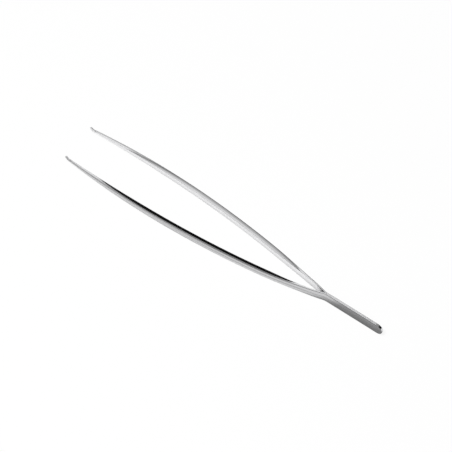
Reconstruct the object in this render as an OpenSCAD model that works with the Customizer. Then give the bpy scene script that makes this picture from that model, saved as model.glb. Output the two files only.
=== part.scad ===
// Long spring tweezers for planting an aquarium: two polished steel blades, spot-welded at the tail.
// The part lies flat, as it would on a table. X runs from the tips to the tail, Y is the opening
// direction and Z is up. The origin is under the middle of its box, on the surface it rests on.
// Each blade is one piece of metal that flexes beyond the weld. It is drawn as a tail with its
// spring leaf and an arm, which meet at the flex line, because rigid bodies cannot bend.

/* [Blade] */
// Overall length, from the rounded tail to the tips
overall_len = 270; // [255:1:300]
// Width of a blade at the tail
blade_w = 10.4; // [10:0.1:12]
// Width of a blade along its arm
arm_w = 7.3; // [6:0.1:8.5]
// Thickness of a blade at the tail and where its spring leaf leaves the weld
spring_t = 1; // [0.8:0.1:1.2]
// Thickness of a blade along its arm
arm_t = 3.4; // [2:0.1:3.6]
// Thickness of a blade at its tip
tip_t = 1.3; // [1:0.1:1.5]

/* [Tail] */
// Length of the flat tail, where the two blades touch
tail_len = 48; // [44:1:54]
// Radius of the two corners at the end of the tail
tail_corner_r = 4.6; // [2:0.2:4.8]

/* [Spring leaf] */
// Radius of the bend that takes a blade away from the weld
bend_r = 12; // [8:1:16]
// Angle that this bend turns a blade outwards
bend_angle = 15.5; // [14.5:0.1:16.5]
// Radius of the leaf, which turns back towards the other blade
leaf_r = 150; // [130:5:170]
// Angle that is left at the end of the leaf
leaf_end_angle = 10.5; // [10:0.1:11]
// Distance from the tail's end to where the top edge starts to fall to the arm's width
shoulder_from_tail = 36; // [30:1:44]
// Length of that fall
shoulder_len = 50; // [40:1:60]

/* [Arm] */
// Radius of the long curve of an arm
arm_r = 800; // [760:10:840]
// Distance from the tail's end to the line about which an arm flexes
flex_from_tail = 78; // [74:1:84]
// Distance from the tail's end to where the leaf starts to swell to the arm's thickness
swell_from_tail = 56; // [54:1:66]
// Length of that swelling
swell_len = 48; // [36:1:56]
// Distance from the tail's end to where an arm starts to narrow and to thin
taper_from_tail = 150; // [130:1:160]
// Slit between the leaf and the arm at the flex line, which lets the arm turn
flex_gap = 0.1; // [0.1:0.01:0.15]

/* [Tip] */
// Width of a blade where its tip turns up
tip_w = 1.4; // [1.2:0.1:2]
// Radius of the upward turn, at the middle of the blade
tip_bend_r = 2.5; // [2:0.1:4]
// Angle of the upward turn
tip_angle = 45; // [30:1:60]
// Length of the straight end beyond the turn
tip_end_len = 1.4; // [1:0.1:2]

/* [Spot welds] */
// Diameter of a weld nugget
nugget_d = 4; // [3:0.1:5]
// How deep a nugget reaches into each blade
nugget_depth = 0.4; // [0.3:0.05:0.5]
// Number of nuggets along the tail
nugget_count = 3; // [2:1:3]
// Distance between nuggets
nugget_pitch = 13; // [10:1:14]

/* [Hidden] */

// Facets of small curves, steps of a short arc and steps of the long arm
small_fn = 64;
arc_steps = 20;
arm_steps = 60;

// The tail's end, the weld's end and the middle heights of the tail and of an arm
tail_x = overall_len / 2;
weld_x = tail_x - tail_len;
mid_z = blade_w / 2;
arm_mid_z = arm_w / 2;

// Points on the middle line of the right blade, which leaves the weld at the angle 0 and then
// heads for the tips. A heading is the angle away from -X, and across() points to its outer side.
function across(heading) = [sin(heading), cos(heading)];
bend_centre = [weld_x, spring_t / 2 + bend_r];
bend_end = bend_centre - bend_r * across(bend_angle);
leaf_centre = bend_end - leaf_r * across(bend_angle);
leaf_end = leaf_centre + leaf_r * across(leaf_end_angle);
arm_centre = leaf_end - arm_r * across(leaf_end_angle);
function arm_heading(x) = asin((x - arm_centre[0]) / arm_r);

// The flex line is the virtual pivot of an arm
flex_x = tail_x - flex_from_tail;
flex_heading = arm_heading(flex_x);

// The tip turns up at hook_x, and ends in half a circle
hook_reach = tip_bend_r * sin(tip_angle) + tip_end_len * cos(tip_angle) + tip_w / 2;
hook_x = hook_reach - tail_x;
tip_heading = arm_heading(-tail_x - tip_w);

// Shares from 0 to 1 of what changes along a blade, by x
function clamp(t) = min(max(t, 0), 1);
function ease(t) = t * t * (3 - 2 * t);
shoulder_x = tail_x - shoulder_from_tail;
swell_x = tail_x - swell_from_tail;
taper_x = tail_x - taper_from_tail;
function shoulder_share(x) = ease(clamp((shoulder_x - x) / shoulder_len));
function swell_share(x) = ease(clamp((swell_x - x) / swell_len));
function taper_share(x) = pow(clamp((taper_x - x) / (taper_x - hook_x)), 2);

// Thickness of a blade, and the heights of its two edges
function thickness(x) =
    spring_t + (arm_t - spring_t) * swell_share(x) - (arm_t - tip_t) * taper_share(x);
function edge_drop(x) = (arm_w - tip_w) / 2 * taper_share(x);
function top_z(x) = blade_w - (blade_w - arm_w) * shoulder_share(x) - edge_drop(x);

// Points along an arc, from one angle to another
function arc(centre, r, from, to) =
    [for (i = [0 : arc_steps])
        let (angle = from + (to - from) * i / arc_steps)
        centre + r * [cos(angle), sin(angle)]];
function reversed(points) = [for (i = [len(points) - 1 : -1 : 0]) points[i]];

// Plan shapes stand this far past the blades above and below, and are trimmed by the side outline
over = 5;
plan_h = blade_w + 2 * over;
// Half the depth of the trimming block, past both arms
arm_span = 40;

// One face of the right blade in plan, where its middle line is an arc between two headings. The
// radius is negative for an arc that bends outwards. The side is 1 for the outer face and -1 for
// the inner one.
function swept(centre, r, from, to, steps, side) =
    [for (i = [0 : steps])
        let (heading = from + (to - from) * i / steps)
        let (middle = centre + r * across(heading))
        middle + side * thickness(middle[0]) / 2 * across(heading)];

// The same face from past the tail's end to the flex line
function leaf_face(side) = concat(
    [[tail_x + over, (1 + side) * spring_t / 2]],
    swept(bend_centre, -bend_r, 0, bend_angle, arc_steps, side),
    swept(leaf_centre, leaf_r, bend_angle, leaf_end_angle, arc_steps, side),
    swept(arm_centre, arm_r, leaf_end_angle, flex_heading, arc_steps, side)
);

// The same face from the slit at the flex line to past the tip
arm_from = flex_heading - flex_gap / arm_r * 180 / PI;
function arm_face(side) = swept(arm_centre, arm_r, arm_from, tip_heading, arm_steps, side);

// Side outline of a whole blade: flat along its lower edge, falling along its upper one, with a
// rounded tail and a thin turned-up tip
module side_outline() {
    body_x = [for (i = [0 : arm_steps]) shoulder_x + (hook_x - shoulder_x) * i / arm_steps];
    hook_mid = [hook_x, arm_mid_z + tip_bend_r];
    hook_to = -90 - tip_angle;
    end_mid = hook_mid + tip_bend_r * [cos(hook_to), sin(hook_to)]
        + tip_end_len * [-cos(tip_angle), sin(tip_angle)];
    corner_x = tail_x - tail_corner_r;
    polygon(concat(
        arc([corner_x, tail_corner_r], tail_corner_r, -90, 0),
        arc([corner_x, blade_w - tail_corner_r], tail_corner_r, 0, 90),
        [for (x = body_x) [x, top_z(x)]],
        arc(hook_mid, tip_bend_r - tip_w / 2, -90, hook_to),
        arc(end_mid, tip_w / 2, 90 - tip_angle, 270 - tip_angle),
        arc(hook_mid, tip_bend_r + tip_w / 2, hook_to, -90),
        [for (x = reversed(body_x)) if (x < taper_x) [x, edge_drop(x)]]
    ));
}

// Block with the side outline of a whole blade, as deep as the opening
module side_block() {
    translate([0, arm_span, 0])
        rotate([90, 0, 0])
            linear_extrude(height = 2 * arm_span)
                side_outline();
}

// Weld nuggets, half of them in each blade
module nuggets() {
    first_x = tail_x - tail_len / 2 - nugget_pitch * (nugget_count - 1) / 2;
    for (i = [0 : nugget_count - 1])
        translate([first_x + i * nugget_pitch, nugget_depth, mid_z])
            rotate([90, 0, 0])
                cylinder(d = nugget_d, h = 2 * nugget_depth, $fn = small_fn);
}

// Right blade as far as the flex line: flat tail, bend and spring leaf, which swells towards its arm
module blade_tail() {
    difference() {
        intersection() {
            translate([0, 0, -over])
                linear_extrude(height = plan_h)
                    polygon(concat(leaf_face(1), reversed(leaf_face(-1))));
            side_block();
        }
        nuggets();
    }
}

// Right blade beyond the flex line: a bowed arm that tapers, and its turned-up tip
module blade_arm() {
    intersection() {
        translate([0, 0, -over])
            linear_extrude(height = plan_h)
                polygon(concat(arm_face(1), reversed(arm_face(-1))));
        side_block();
    }
}

module right_blade_tail() {
    color("silver")
        blade_tail();
}

module left_blade_tail() {
    color("silver")
        mirror([0, 1, 0])
            blade_tail();
}

module right_blade_arm() {
    color("gainsboro")
        blade_arm();
}

module left_blade_arm() {
    color("gainsboro")
        mirror([0, 1, 0])
            blade_arm();
}

module spot_welds() {
    color("darkgray")
        nuggets();
}

left_blade_tail();
right_blade_tail();
left_blade_arm();
right_blade_arm();
spot_welds();
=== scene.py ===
"""Long aquascaping tweezers: two polished steel blades, spot-welded at a flat tail.

Each blade is one continuous skin, swept along the same arcs as the CAD blades, with the rounded
edges, crowned outer face and bevelled rims that the polished metal shows. Lengths are metres.
"""

import math

import bmesh
import bpy
import numpy as np
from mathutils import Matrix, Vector


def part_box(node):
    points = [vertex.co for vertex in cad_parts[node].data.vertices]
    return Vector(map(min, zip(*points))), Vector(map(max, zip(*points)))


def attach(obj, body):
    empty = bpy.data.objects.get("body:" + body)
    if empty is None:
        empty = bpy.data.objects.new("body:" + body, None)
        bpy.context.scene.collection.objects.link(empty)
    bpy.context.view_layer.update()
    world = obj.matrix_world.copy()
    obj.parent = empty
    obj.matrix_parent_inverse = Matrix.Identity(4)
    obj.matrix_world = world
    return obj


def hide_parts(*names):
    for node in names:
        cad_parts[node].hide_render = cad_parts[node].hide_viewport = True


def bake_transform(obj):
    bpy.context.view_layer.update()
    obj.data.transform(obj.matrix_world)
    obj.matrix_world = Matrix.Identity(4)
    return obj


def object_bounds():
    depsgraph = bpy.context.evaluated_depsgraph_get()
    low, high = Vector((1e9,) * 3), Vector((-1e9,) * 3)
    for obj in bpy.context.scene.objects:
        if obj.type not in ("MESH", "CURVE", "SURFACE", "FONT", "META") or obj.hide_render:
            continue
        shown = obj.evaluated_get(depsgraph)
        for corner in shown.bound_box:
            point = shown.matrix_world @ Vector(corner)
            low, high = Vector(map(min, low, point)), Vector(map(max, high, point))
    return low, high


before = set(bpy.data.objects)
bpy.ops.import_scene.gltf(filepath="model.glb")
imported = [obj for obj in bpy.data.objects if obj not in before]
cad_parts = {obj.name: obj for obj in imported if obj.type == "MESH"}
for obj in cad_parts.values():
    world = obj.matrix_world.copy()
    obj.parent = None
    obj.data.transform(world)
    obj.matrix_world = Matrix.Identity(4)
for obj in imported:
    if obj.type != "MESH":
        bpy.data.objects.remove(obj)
cad_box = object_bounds()

MM = 0.001

# ---- The blades, as the CAD has them ----
TAIL_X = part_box("right_blade_tail")[1].x
TIP_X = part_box("right_blade_arm")[0].x
BLADE_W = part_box("right_blade_tail")[1].z
ARM_TOP = 7.3 * MM
ARM_MID_Z = ARM_TOP / 2

SPRING_T = 1.0 * MM
ARM_T = 3.4 * MM
TIP_T = 1.3 * MM
TAIL_LEN = 48 * MM
TAIL_CORNER_R = 4.6 * MM
BEND_R = 12 * MM
BEND_ANGLE = math.radians(15.5)
LEAF_R = 150 * MM
LEAF_END_ANGLE = math.radians(10.5)
ARM_R = 800 * MM
SHOULDER_X = TAIL_X - 36 * MM
SHOULDER_LEN = 50 * MM
SWELL_X = TAIL_X - 56 * MM
SWELL_LEN = 48 * MM
TAPER_X = TAIL_X - 150 * MM
TIP_W = 1.4 * MM
TIP_BEND_R = 2.5 * MM
TIP_ANGLE = math.radians(45)
TIP_END_LEN = 1.4 * MM

# ---- Edge work that only the skin has ----
# The arm's style of edge comes in between these places: a crowned outer face and tilted rims
STYLE_START = TAIL_X - 70 * MM
STYLE_END = TAIL_X - 104 * MM
# It fades out again towards the tip
PLAIN_START = TAIL_X - 165 * MM
PLAIN_END = TAIL_X - 245 * MM
# Radii of the edges along the outer and the inner face
TAIL_OUTER_R = 0.4 * MM
ARM_OUTER_R = 0.7 * MM
TIP_OUTER_R = 0.12 * MM
INNER_R = 0.12 * MM
TIP_INNER_R = 0.06 * MM
# The outer radius is never more than this share of the thickness
MAX_ROUNDING = 0.45
# Inward tilt of an arm's rim, at its outer corner and at its inner one. It comes in first and goes
# last at the inner corner.
RIM_START = math.radians(12)
RIM_END = math.radians(20)
# Bulge of the outer face, as a share of the blade's width
CROWN = 0.015
# Rounding of the tail's end, and how much of it is taken off the thickness
END_R = 0.3 * MM
END_ROUNDING = 0.8
# Half the gap between the two skins where the tails touch
FACE_GAP = 0.005 * MM
# Limits that keep the rounded corner of the tail well formed
MAX_STRETCH = 6.0
TINY = 1e-12

# ---- Fineness of the skin ----
# Points of a ring: on half the outer face, over its edge, across the rim and over the inner edge
FACE_POINTS = 7
ARC_POINTS = 12
RIM_POINTS = 10
INNER_ARC_POINTS = 5
# Points either side of the middle of the inner face that count as inner face
INNER_POINTS = 6
# Rings along each stretch of a blade
CORNER_RINGS = 25
TAIL_RINGS = 36
BEND_RINGS = 14
LEAF_RINGS = 16
ARM_RINGS = 190
HOOK_RINGS = 9
HOOK_END_RINGS = 4
CAP_RINGS = 9
# A ring of full width, and how far round the tip's rounding goes
FULL_RING = CORNER_RINGS + TAIL_RINGS - 1
CAP_ANGLE = math.radians(82)

# ---- Finish and painted shade: shares of the steel's brightness, which paint shade and reflection into its colour, and roughness on top of its polish ----
# The outer faces are painted darker than the rest of the steel: painted shade for the darker reflections
# they show
OUTER_SHADE = 0.74
# Satin finish and painted shade of the tail: its outer face is rougher and is painted dark, painted
# shade for the shaded floor it mirrors, darker towards the lower edge. Distances are in millimetres.
# It starts to fade 40 mm from the tail's end, sooner higher up, and is gone by 50 mm along the upper
# edge and by 100 mm along the lower one.
TAIL_PAINTED_SHADE = 0.17
SATIN_AND_SHADE_FADE = 0.25
SATIN_ROUGH = 0.3
SATIN_AND_SHADE_FROM = 40
SATIN_AND_SHADE_LEAN = 10
SATIN_AND_SHADE_TO = 50
SATIN_AND_SHADE_TRAIL = 50
# The outer edges of the arms are painted darker: painted shade for the darker reflection along them
EDGE_SHADE = 0.55
EDGE_START = TAIL_X - 58 * MM
EDGE_END = TAIL_X - 96 * MM
# This comes in over these shares of the edge's rounding, and goes between these points of the rim
EDGE_IN = (0.3, 0.7)
EDGE_OUT = (1, 7)
# The inner faces are painted darker towards their lower edge: painted shade near the floor
INNER_LOW_SHADE = 0.72
INNER_LOW_TO = 0.6
# The turned-up tips are blasted matt
TIP_ROUGH = 0.45
TIP_MATT = 0.75
MATT_FROM = 2 * MM
MATT_TO = 1 * MM
# Long dark streaks painted into the colour of the outer faces, a painted reflection of uneven polish:
# how much they darken, and how many there are to the metre, along and across
STREAK_DARK = 0.3
STREAKS = (5, 420, 1)
# Fine grain and smudges, to the metre
GRAIN = (60, 4500, 1)
SMUDGES = 70
# The part of each noise that makes its marks
STREAK_RANGE = (0.4, 0.5)
GRAIN_RANGE = (0.3, 0.7)
SMUDGE_RANGE = (0.45, 0.75)


def across(heading):
    """Unit vector to the outer side of the right blade, where it heads for the tips at this angle."""
    return np.array([math.sin(heading), math.cos(heading)])


def smooth(x, start, end):
    """0 before start, 1 after end and an even turn between them."""
    t = min(max((x - start) / (end - start), 0.0), 1.0)
    return t * t * (3 - 2 * t)


weld_x = TAIL_X - TAIL_LEN
bend_mid = np.array([weld_x, SPRING_T / 2 + BEND_R])
bend_end = bend_mid - BEND_R * across(BEND_ANGLE)
leaf_mid = bend_end - LEAF_R * across(BEND_ANGLE)
leaf_end = leaf_mid + LEAF_R * across(LEAF_END_ANGLE)
arm_mid = leaf_end - ARM_R * across(LEAF_END_ANGLE)
hook_x = TIP_X + TIP_BEND_R * math.sin(TIP_ANGLE) + TIP_END_LEN * math.cos(TIP_ANGLE) + TIP_W / 2
tip_heading = math.asin((hook_x - arm_mid[0]) / ARM_R)


def taper_share(x):
    """Share of the arm's narrowing and thinning that is done at x."""
    return min(max((TAPER_X - x) / (TAPER_X - hook_x), 0.0), 1.0) ** 2


def edges(x):
    """Heights of a blade's lower and upper edge, and the stretch that keeps their rounding even."""
    drop = (ARM_TOP - TIP_W) / 2 * taper_share(x)
    fall = (BLADE_W - ARM_TOP) * smooth(x, SHOULDER_X, SHOULDER_X - SHOULDER_LEN)
    low, high = drop, BLADE_W - fall - drop
    run = x - (TAIL_X - TAIL_CORNER_R)
    if run <= 0:
        return low, high, 1.0
    rise = math.sqrt(max(TAIL_CORNER_R**2 - run**2, TINY))
    cut = TAIL_CORNER_R - rise
    return low + cut, high - cut, min(TAIL_CORNER_R / rise, MAX_STRETCH)


def thickness(x):
    """Thickness of a blade at x."""
    swell = smooth(x, SWELL_X, SWELL_X - SWELL_LEN)
    return SPRING_T + (ARM_T - SPRING_T) * swell - (ARM_T - TIP_T) * taper_share(x)


def plan_stations():
    """Points of a blade's middle line in plan, from the tail's end to the hook: x, y and heading."""
    stations = []
    corner = TAIL_CORNER_R
    for a in np.linspace(0, math.pi / 2, CORNER_RINGS):
        stations.append((TAIL_X - corner * (1 - math.cos(a)), SPRING_T / 2, 0.0))
    for x in np.linspace(TAIL_X - corner, weld_x, TAIL_RINGS)[1:]:
        stations.append((x, SPRING_T / 2, 0.0))
    for h in np.linspace(0, BEND_ANGLE, BEND_RINGS)[1:]:
        stations.append((*(bend_mid - BEND_R * across(h)), h))
    for h in np.linspace(BEND_ANGLE, LEAF_END_ANGLE, LEAF_RINGS)[1:]:
        stations.append((*(leaf_mid + LEAF_R * across(h)), h))
    for h in np.linspace(LEAF_END_ANGLE, tip_heading, ARM_RINGS)[1:]:
        stations.append((*(arm_mid + ARM_R * across(h)), h))
    return stations


def fillet(corner, before, after, radius, count):
    """Points of an arc that rounds a corner between two edges, given by unit vectors away from it."""
    inside = math.acos(max(-1.0, min(1.0, float(before @ after))))
    centre = corner + (before + after) / np.linalg.norm(before + after) * radius / math.sin(inside / 2)
    start = corner + before * radius / math.tan(inside / 2) - centre
    end = corner + after * radius / math.tan(inside / 2) - centre
    a0 = math.atan2(start[1], start[0])
    turn = (math.atan2(end[1], end[0]) - a0 + math.pi) % (2 * math.pi) - math.pi
    angles = [a0 + turn * k / count for k in range(count + 1)]
    return [centre + radius * np.array([math.cos(a), math.sin(a)]) for a in angles]


def section(thick, half, outer_r, inner_r, style):
    """Closed outline of a blade cut across: n towards the outer side, z up, centred on its middle.
    It starts at the middle of the outer face and runs up it, over the rim and down the inner face.
    The style is 0 for a flat blade and 1 for a crowned outer face and rounded rims."""
    bulge = CROWN * style * 2 * half
    slope = math.atan(2 * bulge / half)
    first_tilt, last_tilt = RIM_START * style**3, RIM_END * style**0.5
    first_fall, last_fall = math.tan(first_tilt), math.tan(last_tilt)
    reach = outer_r / math.tan((math.pi / 2 + slope - first_tilt) / 2)
    top = half - reach * math.cos(slope)
    corner = np.array([thick / 2 - bulge * (top / half) ** 2 - reach * math.sin(slope), half])
    span = corner[0] + thick / 2

    def rim_point(d):
        return corner - np.array([d, first_fall * d + (last_fall - first_fall) * d**2 / (2 * span)])

    outer_arc = fillet(corner, np.array([math.sin(slope), -math.cos(slope)]),
                       np.array([-math.cos(first_tilt), -math.sin(first_tilt)]), outer_r, ARC_POINTS)
    inner_arc = fillet(rim_point(span), np.array([math.cos(last_tilt), math.sin(last_tilt)]),
                       np.array([0.0, -1.0]), inner_r, INNER_ARC_POINTS)
    face = [np.array([thick / 2 - bulge * (z / half) ** 2, z])
            for z in np.linspace(0, top, FACE_POINTS + 1)[:-1]]
    first, last = corner[0] - outer_arc[-1][0], corner[0] - inner_arc[0][0]
    rim = [rim_point(d) for d in np.linspace(first, last, RIM_POINTS)[1:-1]]
    back = [inner_arc[-1] * np.array([1, z]) for z in (0.75, 0.5, 0.25, 0.0)]
    upper = face + outer_arc + rim + inner_arc + back
    ring = np.array(upper + [p * np.array([1, -1]) for p in reversed(upper[1:-1])])
    ring[:, 1] *= half / ring[:, 1].max()
    ring[:, 0] += thick / 2 - ring[:, 0].max()
    return ring


def outer_share(k, count):
    """1 on the outer face, falling to 0 over the rounding of its edge, for point k of a ring."""
    k = min(k, count - k)
    return 1 - smooth(k, FACE_POINTS + 0.5 * ARC_POINTS, FACE_POINTS + ARC_POINTS)


def edge_share(k, count):
    """1 along the outer edge of a rim, falling to 0 on the outer face and towards the middle of the
    rim, for point k of a ring."""
    k = min(k, count - k) - FACE_POINTS
    comes = smooth(k, EDGE_IN[0] * ARC_POINTS, EDGE_IN[1] * ARC_POINTS)
    return comes * (1 - smooth(k, ARC_POINTS + EDGE_OUT[0], ARC_POINTS + EDGE_OUT[1]))


def inner_share(k, count):
    """1 on the inner face and 0 elsewhere, for point k of a ring."""
    return 1.0 if min(k, count - k) > count // 2 - INNER_POINTS else 0.0


def satin_and_shade(x, z):
    """Share of the rougher face and painted shade on the tail's outer face. It lasts longest along the
    lower edge, and gets weaker towards the upper one, so the painted shade is darker low down."""
    into = (TAIL_X - x) / MM
    height = min(max(z / BLADE_W, 0.0), 1.0)
    end = SATIN_AND_SHADE_TO + SATIN_AND_SHADE_TRAIL * (1 - height) ** 3
    return (1 - SATIN_AND_SHADE_FADE * height) * (1 - smooth(into, SATIN_AND_SHADE_FROM - SATIN_AND_SHADE_LEAN * height, end))


def blade_rings():
    """Rings of points of the right blade, from the tail's end to the tip."""
    rings = []
    for x, y, heading in plan_stations():
        low, high, stretch = edges(x)
        half = (high - low) / 2
        style = smooth(x, STYLE_START, STYLE_END) * (1 - smooth(x, PLAIN_START, PLAIN_END))
        tip_share = smooth(x, TAPER_X, hook_x)
        arm_r = ARM_OUTER_R + (TIP_OUTER_R - ARM_OUTER_R) * tip_share
        outer_r = TAIL_OUTER_R + (arm_r - TAIL_OUTER_R) * smooth(x, STYLE_START, STYLE_END)
        thick = thickness(x)
        into = TAIL_X - x
        if into < END_R:
            thick -= 2 * (END_R - math.sqrt(END_R**2 - (END_R - into) ** 2)) * END_ROUNDING
        inner_r = INNER_R + (TIP_INNER_R - INNER_R) * tip_share
        ring = section(thick, half / stretch, min(outer_r, MAX_ROUNDING * thick), inner_r, style)
        ring[:, 1] *= stretch
        side = across(heading)
        tall = (low + high) / 2 + ring[:, 1]
        rings.append(np.column_stack([x + ring[:, 0] * side[0], y + ring[:, 0] * side[1], tall]))
    rings += tip_rings(*plan_stations()[-1])
    return rings


def tip_rings(x, y, heading):
    """Rings of the turned-up tip: the bend, its straight end and its rounding."""
    forward = np.array([-math.cos(heading), math.sin(heading), 0.0])
    side = np.array([*across(heading), 0.0])
    up = np.array([0.0, 0.0, 1.0])
    start = np.array([x, y, ARM_MID_Z])
    path = []
    for a in np.linspace(0, TIP_ANGLE, HOOK_RINGS)[1:]:
        path.append((TIP_BEND_R * math.sin(a), TIP_BEND_R * (1 - math.cos(a)), a, 1.0))
    reach, rise = path[-1][0], path[-1][1]
    for d in np.linspace(0, TIP_END_LEN, HOOK_END_RINGS)[1:]:
        path.append((reach + d * math.cos(TIP_ANGLE), rise + d * math.sin(TIP_ANGLE), TIP_ANGLE, 1.0))
    reach, rise = path[-1][0], path[-1][1]
    for a in np.linspace(0, CAP_ANGLE, CAP_RINGS)[1:]:
        d = TIP_W / 2 * math.sin(a)
        run, lift = reach + d * math.cos(TIP_ANGLE), rise + d * math.sin(TIP_ANGLE)
        path.append((run, lift, TIP_ANGLE, math.cos(a)))
    rings = []
    for run, lift, angle, size in path:
        ring = section(TIP_T, TIP_W / 2, TIP_OUTER_R, TIP_INNER_R, 0.0) * size
        centre = start + forward * run + up * lift
        tall = -forward * math.sin(angle) + up * math.cos(angle)
        rings.append(centre + np.outer(ring[:, 0], side) + np.outer(ring[:, 1], tall))
    return rings


def blade(name, hand):
    """One blade as a single closed skin. hand is 1 for the right blade and -1 for its mirror image."""
    rings = [r.copy() for r in blade_rings()]
    count = len(rings[0])
    verts = np.concatenate(rings)
    verts[:, 1] = np.maximum(verts[:, 1], FACE_GAP)
    verts[:, 1] *= hand
    steps = [np.linalg.norm(b.mean(0) - a.mean(0)) for a, b in zip(rings, rings[1:])]
    lengths = np.concatenate([[0], np.cumsum(steps)])
    full = np.vstack([rings[FULL_RING], rings[FULL_RING][:1]])
    around = np.concatenate([[0], np.cumsum(np.linalg.norm(np.diff(full, axis=0), axis=1))])
    faces, uvs = [], []
    for i in range(len(rings) - 1):
        for k in range(count):
            n = (k + 1) % count
            faces.append((i * count + k, i * count + n, (i + 1) * count + n, (i + 1) * count + k))
            uvs.append([(lengths[i], around[k]), (lengths[i], around[k + 1]),
                        (lengths[i + 1], around[k + 1]), (lengths[i + 1], around[k])])
    for ring in (0, len(rings) - 1):
        faces.append(tuple(ring * count + k for k in range(count)))
        uvs.append([(lengths[ring], a) for a in around[:-1]])
    mesh = bpy.data.meshes.new(name)
    mesh.from_pydata([tuple(v) for v in verts], [], faces)
    layer = mesh.uv_layers.new(name="grain")
    for polygon, corners in zip(mesh.polygons, uvs):
        for loop, uv in zip(polygon.loop_indices, corners):
            layer.data[loop].uv = uv
    bm = bmesh.new()
    bm.from_mesh(mesh)
    bmesh.ops.recalc_face_normals(bm, faces=bm.faces)
    bm.to_mesh(mesh)
    bm.free()
    mesh.polygons.foreach_set("use_smooth", [True] * len(mesh.polygons))
    finish_and_shade = {"shade": [], "soft": [], "matt": [], "streaked": []}
    for i, vertex in enumerate(mesh.vertices):
        outer = outer_share(i % count, count)
        satin_and_shade_share = outer * satin_and_shade(vertex.co.x, vertex.co.z)
        top = edges(vertex.co.x)[1] if vertex.co.x > hook_x else ARM_TOP
        low_share = inner_share(i % count, count) * (1 - smooth(vertex.co.z / top, 0.0, INNER_LOW_TO))
        edge = edge_share(i % count, count) * smooth(vertex.co.x, EDGE_START, EDGE_END)
        tip = smooth(vertex.co.x, hook_x + MATT_FROM, hook_x - MATT_TO)
        # Painted shade: the outer faces are darker, the tail's face darkest and lighter higher up, the
        # inner faces darker low down and the rims darker at their outer edge
        finish_and_shade["shade"].append((1 - outer * (1 - OUTER_SHADE) - satin_and_shade_share * (OUTER_SHADE - TAIL_PAINTED_SHADE)
                                - low_share * (1 - INNER_LOW_SHADE)) * (1 - edge * (1 - EDGE_SHADE)))
        finish_and_shade["soft"].append(satin_and_shade_share * SATIN_ROUGH + TIP_ROUGH * tip)
        finish_and_shade["matt"].append(TIP_MATT * tip)
        finish_and_shade["streaked"].append(outer - satin_and_shade_share)
    for title, values in finish_and_shade.items():
        mesh.attributes.new(title, "FLOAT", "POINT").data.foreach_set("value", values)
    piece = bpy.data.objects.new(name, mesh)
    bpy.context.scene.collection.objects.link(piece)
    return piece


# ---- Materials ----


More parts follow.
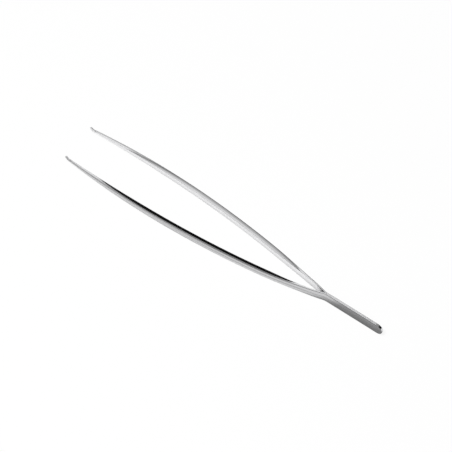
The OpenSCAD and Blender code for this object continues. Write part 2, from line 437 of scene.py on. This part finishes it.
def steel(name, low, high, rough_low, rough_high, bump_depth, finished_and_shaded):
    """Polished steel with a fine grain along the blade, faint smudges and small unevenness. For the
    blades, it has painted streaks of reflection and takes the stored painted shade, roughness and matt
    tips."""
    material = bpy.data.materials.new(name)
    material.use_nodes = True
    nodes, links = material.node_tree.nodes, material.node_tree.links
    shader = nodes["Principled BSDF"]
    shader.inputs["Metallic"].default_value = 1.0
    uv = nodes.new("ShaderNodeUVMap")
    uv.uv_map = "grain"
    place = nodes.new("ShaderNodeTexCoord")

    stretch = nodes.new("ShaderNodeMapping")
    stretch.inputs["Scale"].default_value = GRAIN
    links.new(uv.outputs["UV"], stretch.inputs["Vector"])
    grain = nodes.new("ShaderNodeTexNoise")
    grain.inputs["Scale"].default_value = 1
    grain.inputs["Detail"].default_value = 5
    grain.inputs["Roughness"].default_value = 0.6
    links.new(stretch.outputs["Vector"], grain.inputs["Vector"])

    smudge = nodes.new("ShaderNodeTexNoise")
    smudge.inputs["Scale"].default_value = SMUDGES
    smudge.inputs["Detail"].default_value = 4
    smudge.inputs["Distortion"].default_value = 0.6
    links.new(place.outputs["Object"], smudge.inputs["Vector"])

    def ramp(source, span, start, end):
        node = nodes.new("ShaderNodeMapRange")
        sockets = ("From Min", "From Max", "To Min", "To Max")
        for socket, value in zip(sockets, (*span, start, end)):
            node.inputs[socket].default_value = value
        links.new(source, node.inputs["Value"])
        return node.outputs["Result"]

    def combine(operation, first, second):
        node = nodes.new("ShaderNodeMath")
        node.operation = operation
        links.new(first, node.inputs[0])
        links.new(second, node.inputs[1])
        return node.outputs["Value"]

    def attribute(title):
        node = nodes.new("ShaderNodeAttribute")
        node.attribute_name = title
        return node.outputs["Fac"]

    mix = nodes.new("ShaderNodeMix")
    mix.data_type = "RGBA"
    mix.inputs["A"].default_value = (*low, 1)
    mix.inputs["B"].default_value = (*high, 1)
    links.new(ramp(grain.outputs["Fac"], GRAIN_RANGE, 0, 1), mix.inputs["Factor"])
    colour = mix.outputs["Result"]

    half = (rough_high - rough_low) / 2
    roughness = combine("ADD", ramp(grain.outputs["Fac"], GRAIN_RANGE, rough_low, rough_low + half),
                        ramp(smudge.outputs["Fac"], SMUDGE_RANGE, 0, half))
    if finished_and_shaded:
        roughness = combine("ADD", roughness, attribute("soft"))
        spread = nodes.new("ShaderNodeMapping")
        spread.inputs["Scale"].default_value = STREAKS
        links.new(uv.outputs["UV"], spread.inputs["Vector"])
        streak = nodes.new("ShaderNodeTexNoise")
        streak.inputs["Scale"].default_value = 1
        streak.inputs["Detail"].default_value = 2
        links.new(spread.outputs["Vector"], streak.inputs["Vector"])
        # Painted reflection: dark streaks of uneven polish on the outer faces
        streaks = combine("MULTIPLY", attribute("streaked"),
                          ramp(streak.outputs["Fac"], STREAK_RANGE, STREAK_DARK, 0))
        # The stored shade is painted shade in the colour
        shade = combine("SUBTRACT", attribute("shade"), streaks)
        metal = nodes.new("ShaderNodeMath")
        metal.operation = "SUBTRACT"
        metal.inputs[0].default_value = 1.0
        links.new(attribute("matt"), metal.inputs[1])
        links.new(metal.outputs["Value"], shader.inputs["Metallic"])
        darken = nodes.new("ShaderNodeVectorMath")
        darken.operation = "SCALE"
        links.new(colour, darken.inputs[0])
        links.new(shade, darken.inputs["Scale"])
        colour = darken.outputs["Vector"]
    links.new(colour, shader.inputs["Base Color"])
    links.new(roughness, shader.inputs["Roughness"])

    bump = nodes.new("ShaderNodeBump")
    bump.inputs["Strength"].default_value = 1.0
    bump.inputs["Distance"].default_value = bump_depth
    links.new(grain.outputs["Fac"], bump.inputs["Height"])
    links.new(bump.outputs["Normal"], shader.inputs["Normal"])
    return material


polished = steel("polished_steel", (0.72, 0.72, 0.73), (0.82, 0.82, 0.83), 0.07, 0.17, 0.0011 * MM, True)
weld_metal = steel("weld_metal", (0.28, 0.27, 0.26), (0.46, 0.44, 0.42), 0.35, 0.6, 0.02 * MM, False)

# ---- The object ----

left_blade = blade("left_blade", -1)
right_blade = blade("right_blade", 1)
for piece in (left_blade, right_blade):
    piece.data.materials.append(polished)

# Each skin takes the place of its blade's CAD parts, which are hidden, and its placement is baked into
# its mesh
for piece, arm, nodes in (
    (left_blade, "left_arm", ("left_blade_tail", "left_blade_arm")),
    (right_blade, "right_arm", ("right_blade_tail", "right_blade_arm")),
):
    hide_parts(*nodes)
    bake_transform(piece)


# Weld nuggets: how many, their fineness, and how uneven their outline is in slow and quick waves
NUGGETS = 3
NUGGET_ROWS = 10
NUGGET_SIDES = 40
SLOW_WAVE = 0.03
QUICK_WAVE = 0.015
# Powers that shape a nugget's outline: smaller ones make it more of a button than a ball
RIM_POWER = 0.45
FLAT_POWER = 0.8


def weld_nuggets():
    """The nuggets as slightly uneven buttons of metal, inside the tails."""
    lo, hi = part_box("spot_welds")
    radius = (hi.z - lo.z) / 2
    depth = (hi.y - lo.y) / 2
    pitch = (hi.x - lo.x - 2 * radius) / (NUGGETS - 1)
    mesh = bpy.data.meshes.new("weld_nuggets")
    bm = bmesh.new()
    layer = bm.loops.layers.uv.new("grain")
    for number in range(NUGGETS):
        centre = Vector((lo.x + radius + number * pitch, 0, (lo.z + hi.z) / 2))
        loops = []
        for r in range(1, NUGGET_ROWS):
            polar = math.pi * r / NUGGET_ROWS
            ring = []
            for s in range(NUGGET_SIDES):
                angle = 2 * math.pi * s / NUGGET_SIDES
                wave = 1 - SLOW_WAVE * (1 + math.sin(3 * angle + number))
                wave -= QUICK_WAVE * (1 + math.sin(7 * angle + 2 * number))
                out = radius * wave * math.sin(polar) ** RIM_POWER
                flat = depth * math.copysign(abs(math.cos(polar)) ** FLAT_POWER, math.cos(polar))
                offset = Vector((out * math.cos(angle), flat, out * math.sin(angle)))
                ring.append(bm.verts.new(centre + offset))
            loops.append(ring)
        ends = [bm.verts.new(centre + Vector((0, y, 0))) for y in (depth, -depth)]
        for a, b in zip(loops, loops[1:]):
            for s in range(NUGGET_SIDES):
                n = (s + 1) % NUGGET_SIDES
                bm.faces.new((a[s], a[n], b[n], b[s]))
        for ring, end in zip((loops[0], loops[-1]), ends):
            for s in range(NUGGET_SIDES):
                bm.faces.new((ring[s], end, ring[(s + 1) % NUGGET_SIDES]))
    bmesh.ops.recalc_face_normals(bm, faces=bm.faces)
    for face in bm.faces:
        face.smooth = True
        for loop in face.loops:
            loop[layer].uv = (loop.vert.co.x, loop.vert.co.z)
    bm.to_mesh(mesh)
    bm.free()
    piece = bpy.data.objects.new("weld_nuggets", mesh)
    bpy.context.scene.collection.objects.link(piece)
    return piece


welds = weld_nuggets()
welds.data.materials.append(weld_metal)
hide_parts("spot_welds")
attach(welds, "tail")

# ---- Floor, light and camera ----

FLOOR_R = 6.0
FLOOR_SIDES = 96
floor_mesh = bpy.data.meshes.new("floor")
bm = bmesh.new()
bmesh.ops.create_circle(bm, cap_ends=True, segments=FLOOR_SIDES, radius=FLOOR_R)
bm.to_mesh(floor_mesh)
bm.free()
floor = bpy.data.objects.new("floor", floor_mesh)
bpy.context.scene.collection.objects.link(floor)

# The floor is matt white. A camera sees it washed out by the backdrop light, with a trace of shadow.
FLOOR_ALBEDO = 0.85
WASH = 0.88
paint = bpy.data.materials.new("floor_white")
paint.use_nodes = True
nodes, links = paint.node_tree.nodes, paint.node_tree.links
matt = nodes["Principled BSDF"]
matt.inputs["Base Color"].default_value = (FLOOR_ALBEDO, FLOOR_ALBEDO, FLOOR_ALBEDO, 1)
matt.inputs["Roughness"].default_value = 1.0
matt.inputs["Specular IOR Level"].default_value = 0.0
glow = nodes.new("ShaderNodeEmission")
glow.inputs["Color"].default_value = (1, 1, 1, 1)
blend = nodes.new("ShaderNodeMixShader")
path = nodes.new("ShaderNodeLightPath")
share = nodes.new("ShaderNodeMath")
share.operation = "MULTIPLY"
share.inputs[1].default_value = WASH
links.new(path.outputs["Is Camera Ray"], share.inputs[0])
links.new(share.outputs["Value"], blend.inputs["Fac"])
links.new(matt.outputs["BSDF"], blend.inputs[1])
links.new(glow.outputs["Emission"], blend.inputs[2])
links.new(blend.outputs["Shader"], nodes["Material Output"].inputs["Surface"])
floor_mesh.materials.append(paint)

# One broad soft light overhead, leaning to the front and fading out to a dark studio at its rim.
# A camera sees plain white behind.
CAP_LEAN = math.radians(15)
CAP_RIM = 0.6
CAP_FULL = 0.94
CAP_POWER = 1.8
CAP_LIGHT = 1.1
DARK = 0.012
world = bpy.data.worlds.new("studio")
bpy.context.scene.world = world
world.use_nodes = True
nodes, links = world.node_tree.nodes, world.node_tree.links
nodes.clear()
direction = nodes.new("ShaderNodeTexCoord")
facing = nodes.new("ShaderNodeVectorMath")
facing.operation = "DOT_PRODUCT"
facing.inputs[1].default_value = (0, -math.sin(CAP_LEAN), math.cos(CAP_LEAN))
links.new(direction.outputs["Generated"], facing.inputs[0])
cap = nodes.new("ShaderNodeMapRange")
cap.inputs["From Min"].default_value = CAP_RIM
cap.inputs["From Max"].default_value = CAP_FULL
links.new(facing.outputs["Value"], cap.inputs["Value"])
fade = nodes.new("ShaderNodeMath")
fade.operation = "POWER"
fade.inputs[1].default_value = CAP_POWER
links.new(cap.outputs["Result"], fade.inputs[0])
level = nodes.new("ShaderNodeMath")
level.operation = "MULTIPLY_ADD"
level.inputs[1].default_value = CAP_LIGHT
level.inputs[2].default_value = DARK
links.new(fade.outputs["Value"], level.inputs[0])
sky = nodes.new("ShaderNodeBackground")
links.new(level.outputs["Value"], sky.inputs["Strength"])
plain = nodes.new("ShaderNodeBackground")
plain.inputs["Strength"].default_value = 1.0
choose = nodes.new("ShaderNodeMixShader")
path = nodes.new("ShaderNodeLightPath")
links.new(path.outputs["Is Camera Ray"], choose.inputs["Fac"])
links.new(sky.outputs["Background"], choose.inputs[1])
links.new(plain.outputs["Background"], choose.inputs[2])
out = nodes.new("ShaderNodeOutputWorld")
links.new(choose.outputs["Shader"], out.inputs["Surface"])


def aim(thing, place, target):
    """Puts a light or camera at place, looking at target, with up kept upright."""
    thing.location = place
    thing.rotation_euler = (Vector(target) - Vector(place)).to_track_quat("-Z", "Y").to_euler()


# Key light, high up in front, which lights the floor and stays out of the reflections
KEY_ELEVATION = math.radians(75)
KEY_DISTANCE = 2.2
KEY_X = -0.25
KEY_SIZE = 0.7
KEY_POWER = 44
key = bpy.data.lights.new("key", "AREA")
key.shape = "DISK"
key.size = KEY_SIZE
key.energy = KEY_POWER
key_light = bpy.data.objects.new("key", key)
bpy.context.scene.collection.objects.link(key_light)
key_y = -KEY_DISTANCE * math.cos(KEY_ELEVATION)
key_z = KEY_DISTANCE * math.sin(KEY_ELEVATION)
aim(key_light, (KEY_X, key_y, key_z), (0, 0, 0))
key_light.visible_glossy = False

# A long narrow panel that faces down, which the flat upper edges of the blades mirror to the camera
PANEL_PLACE = (-0.36, 0.41, 0.876)
PANEL_LENGTH = 0.48
PANEL_WIDTH = 0.18
PANEL_POWER = 0.25
panel = bpy.data.lights.new("panel", "AREA")
panel.shape = "RECTANGLE"
panel.size = PANEL_LENGTH
panel.size_y = PANEL_WIDTH
panel.energy = PANEL_POWER
panel_light = bpy.data.objects.new("panel", panel)
bpy.context.scene.collection.objects.link(panel_light)
panel_light.location = PANEL_PLACE

# The camera looks from 35.7 degrees round and 60 degrees up, through a long lens
AZIMUTH = math.radians(35.7)
ELEVATION = math.radians(60)
LENS = 400
SENSOR = 36
# Width of the view, and how far its middle lies from the middle of the object
VIEW_WIDTH = 326.1 * MM
VIEW_SHIFT = Vector((-6.2, 5.52, 0)) * MM
centre = Vector(((cad_box[0].x + cad_box[1].x) / 2, 0, BLADE_W / 2)) + VIEW_SHIFT
back = Vector((
    math.sin(AZIMUTH) * math.cos(ELEVATION),
    -math.cos(AZIMUTH) * math.cos(ELEVATION),
    math.sin(ELEVATION),
))
lens = bpy.data.cameras.new("camera")
lens.lens = LENS
lens.sensor_width = SENSOR
lens.clip_start = 0.05
lens.clip_end = 50
camera = bpy.data.objects.new("camera", lens)
bpy.context.scene.collection.objects.link(camera)
aim(camera, centre + back * VIEW_WIDTH * LENS / SENSOR, centre)
bpy.context.scene.camera = camera

bpy.context.scene.view_settings.view_transform = "Standard"
